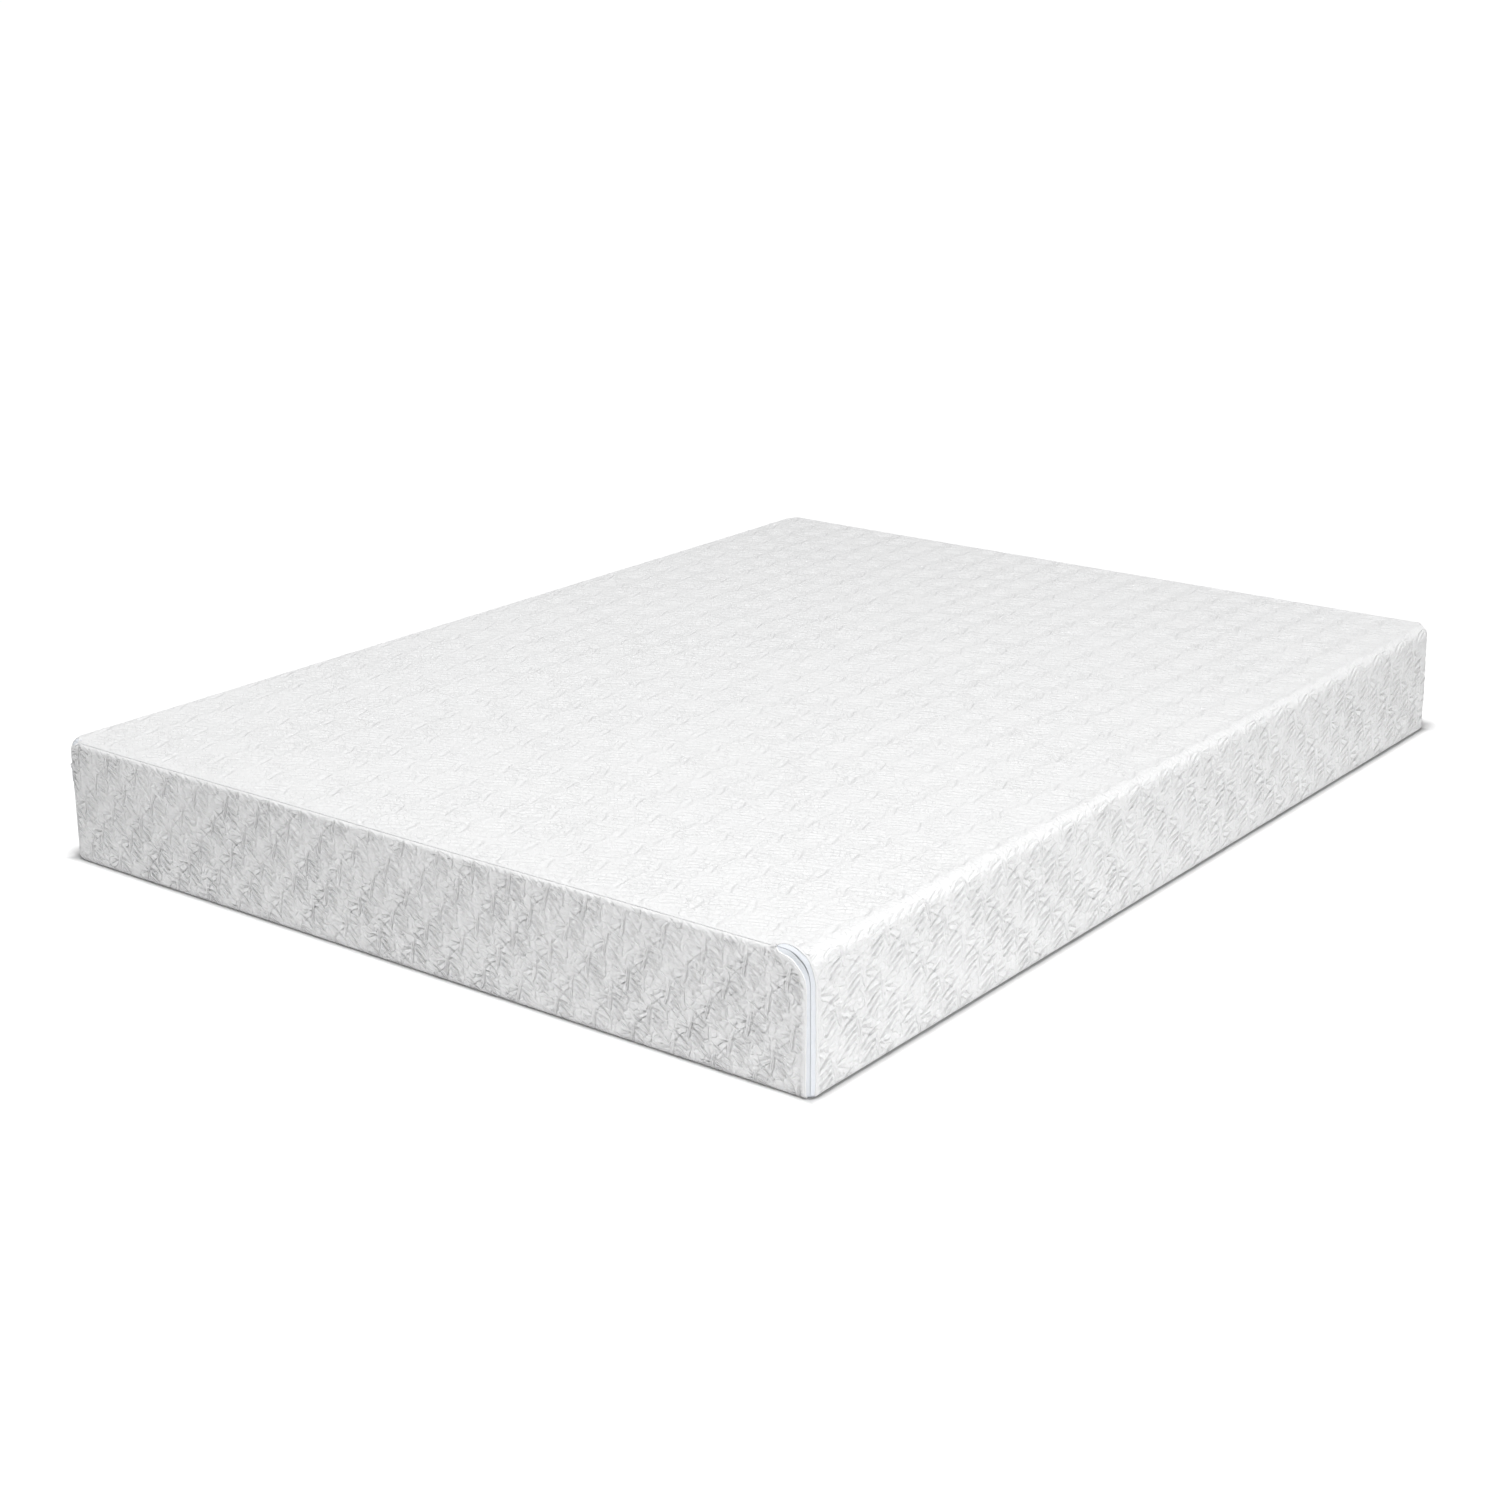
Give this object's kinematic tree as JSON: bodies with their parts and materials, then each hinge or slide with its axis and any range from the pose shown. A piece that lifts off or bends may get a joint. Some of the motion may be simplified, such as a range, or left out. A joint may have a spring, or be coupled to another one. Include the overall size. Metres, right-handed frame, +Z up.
{
  "type": "mattress",
  "caption": "Flat rectangular memory foam mattress in a white embossed knit cover whose foot end unzips and folds up.",
  "frame": {"origin": "middle of the underside, which rests on the bed base", "axes": "+X across the bed, +Y along it towards the head end, +Z up"},
  "size_m": [1.524, 2.032, 0.2032],
  "materials": {
    "cover_knit": "matte",
    "base_fabric": "matte",
    "seam_thread": "matte",
    "zip_tape": "matte",
    "zip_coil": "satin",
    "zip_metal": "satin",
    "sock_knit": "matte",
    "sock_thread": "matte",
    "memory_foam": "matte",
    "transition_foam": "matte",
    "support_foam": "matte",
    "glue": "satin",
    "label_cloth": "matte"
  },
  "bodies": {
    "mattress": {"cover_wrap": "cover_knit", "cover_head_panel": "cover_knit", "cover_base_panel": "base_fabric", "head_panel_seam": "seam_thread", "side_seams": "seam_thread", "flap_fold_seam": "seam_thread", "zip_end_tacks": "seam_thread", "cover_tape_stitching": "seam_thread", "zip_tape_cover": "zip_tape", "zip_coil_cover": "zip_coil", "fire_sock_sleeve": "sock_knit", "fire_sock_head_end": "sock_knit", "fire_sock_foot_end": "sock_knit", "fire_sock_head_seam": "sock_thread", "fire_sock_foot_seam": "sock_thread", "memory_foam_layer": "memory_foam", "transition_foam_layer": "transition_foam", "support_foam_base": "support_foam", "upper_glue_film": "glue", "lower_glue_film": "glue", "law_label": "label_cloth", "law_label_stitching": "seam_thread"},
    "end_flap": {"cover_end_flap": "cover_knit", "flap_tape_stitching": "seam_thread", "zip_tape_flap": "zip_tape", "zip_coil_flap": "zip_coil"},
    "zip_slider": {"zip_slider_body": "zip_metal"},
    "pull_tab": {"zip_pull_tab": "zip_metal"}
  },
  "joints": [
    {"name": "flap_fold", "type": "hinge", "parent": "mattress", "child": "end_flap", "pos_m": [0, -1.016, 0.1932], "axis": [-1, 0, 0], "range_deg": [0, 110], "deforming": ["zip_tape_flap", "zip_coil_flap"]},
    {"name": "slider_run", "type": "slide", "parent": "mattress", "child": "zip_slider", "axis": [0, 0, -1], "range_m": [0, 0.12]},
    {"name": "pull_flip", "type": "hinge", "parent": "zip_slider", "child": "pull_tab", "pos_m": [-0.75482, -1.00882, 0.1612], "axis": [-0.7071, 0.7071, 0], "range_deg": [0, 170]}
  ]
}
